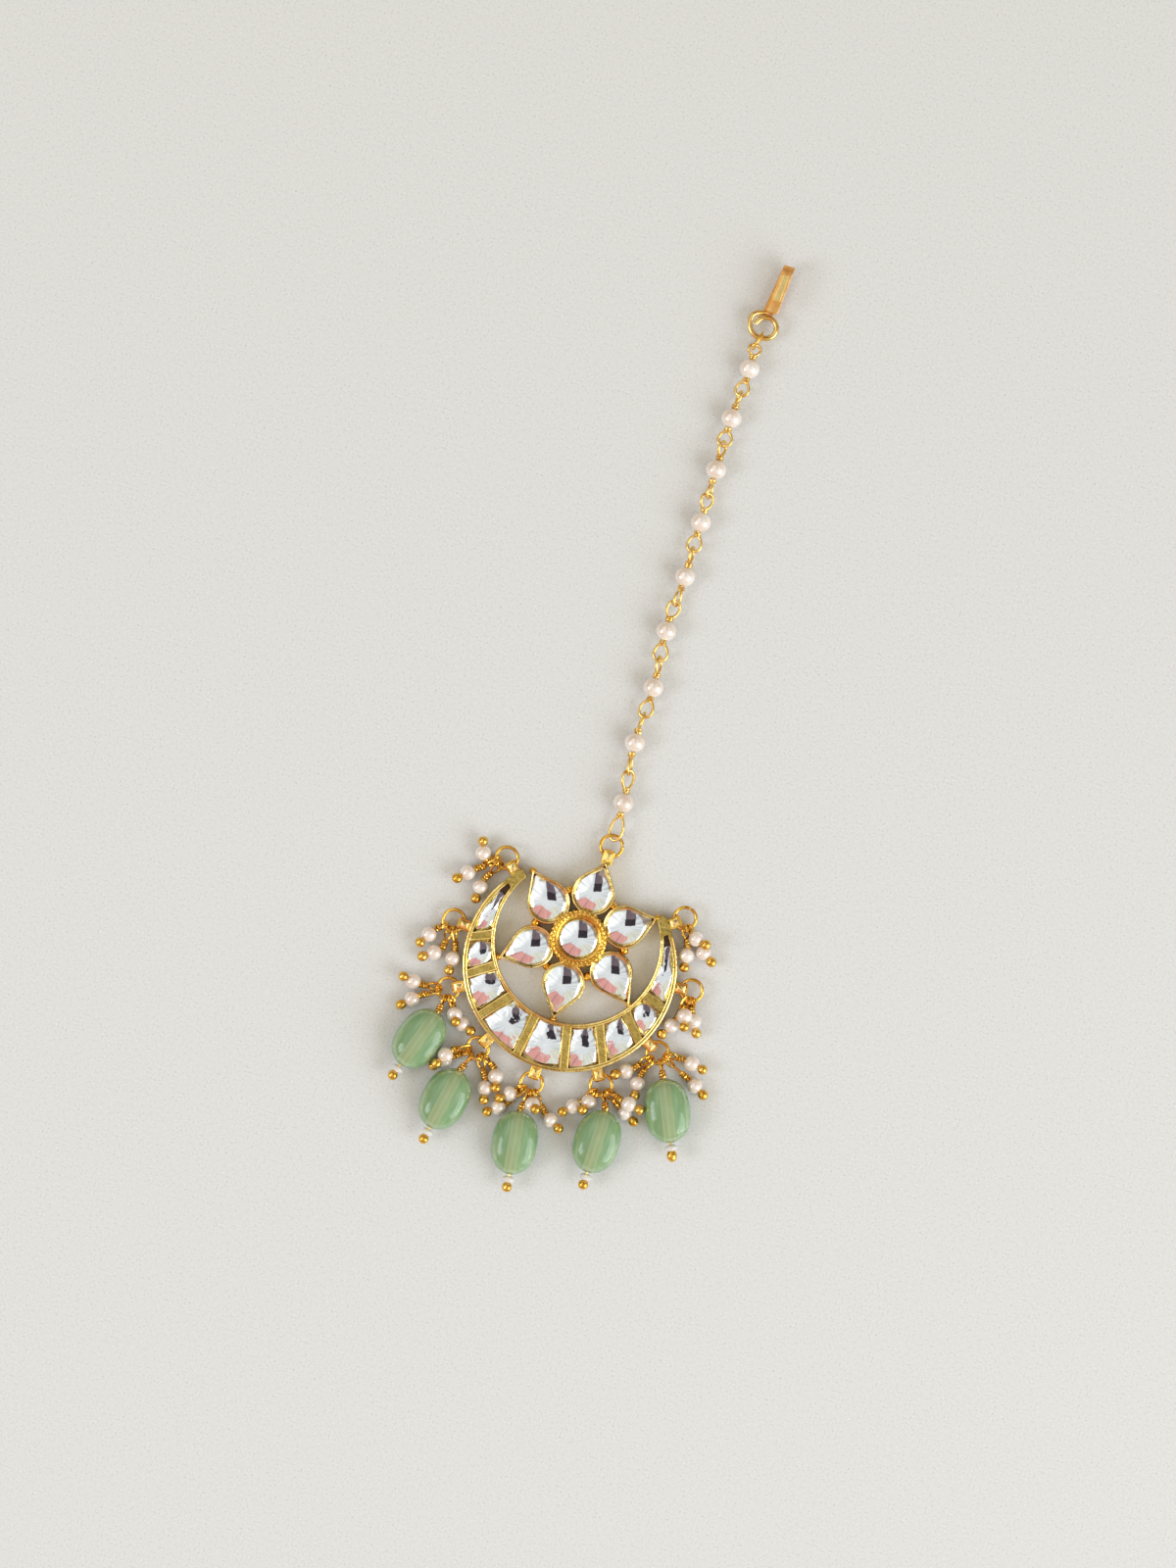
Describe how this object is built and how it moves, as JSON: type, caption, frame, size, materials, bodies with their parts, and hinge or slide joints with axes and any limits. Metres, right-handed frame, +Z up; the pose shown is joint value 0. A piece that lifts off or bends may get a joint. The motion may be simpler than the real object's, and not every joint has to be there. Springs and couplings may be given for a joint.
{
  "type": "forehead jewel",
  "caption": "Maang tikka: a stone-set crescent and flower fringed with small pearls and green drops, on a pearl link chain with a hair hook, lying flat.",
  "frame": {"origin": "middle of the underside of the whole jewel's box, on the surface that it lies on", "axes": "+Z up from the surface, +Y along the jewel from the pendant to the hook, +X across it"},
  "size_m": [0.056, 0.1638, 0.0052],
  "materials": {
    "gold": "satin gold plate, slightly hammered",
    "foil_glass": "clear glass over silver foil, faceted and polished",
    "green_glass": "translucent green glass, polished",
    "pearl": "pearl coating on glass beads, on gold wire"
  },
  "bodies": {
    "root": {"setting": "gold", "crescent_stone_1": "foil_glass", "crescent_stone_2": "foil_glass", "crescent_stone_3": "foil_glass", "crescent_stone_4": "foil_glass", "crescent_stone_5": "foil_glass", "crescent_stone_6": "foil_glass", "crescent_stone_7": "foil_glass", "crescent_stone_8": "foil_glass", "crescent_stone_9": "foil_glass", "petal_stone_1": "foil_glass", "petal_stone_2": "foil_glass", "petal_stone_3": "foil_glass", "petal_stone_4": "foil_glass", "petal_stone_5": "foil_glass", "petal_stone_6": "foil_glass", "centre_stone": "foil_glass", "jump_ring_1": "gold", "jump_ring_2": "gold", "jump_ring_3": "gold", "jump_ring_4": "gold", "jump_ring_5": "gold", "jump_ring_6": "gold", "jump_ring_7": "gold", "jump_ring_8": "gold", "jump_ring_9": "gold", "jump_ring_top": "gold", "drops_1": "pearl", "drops_2": "pearl", "drops_3": "pearl", "drops_4": "pearl", "drops_5": "pearl", "drops_6": "pearl", "drops_7": "pearl", "drops_8": "pearl", "drops_9": "pearl", "green_bead_1": "green_glass", "green_bead_2": "green_glass", "green_bead_3": "green_glass", "green_bead_4": "green_glass", "green_bead_5": "green_glass", "chain_link_1": "pearl", "chain_link_2": "pearl", "chain_link_3": "pearl", "chain_link_4": "pearl", "chain_link_5": "pearl", "chain_link_6": "pearl", "chain_link_7": "pearl", "chain_link_8": "pearl", "chain_link_9": "pearl", "jump_ring_hook": "gold", "hook": "gold"}
  },
  "joints": []
}
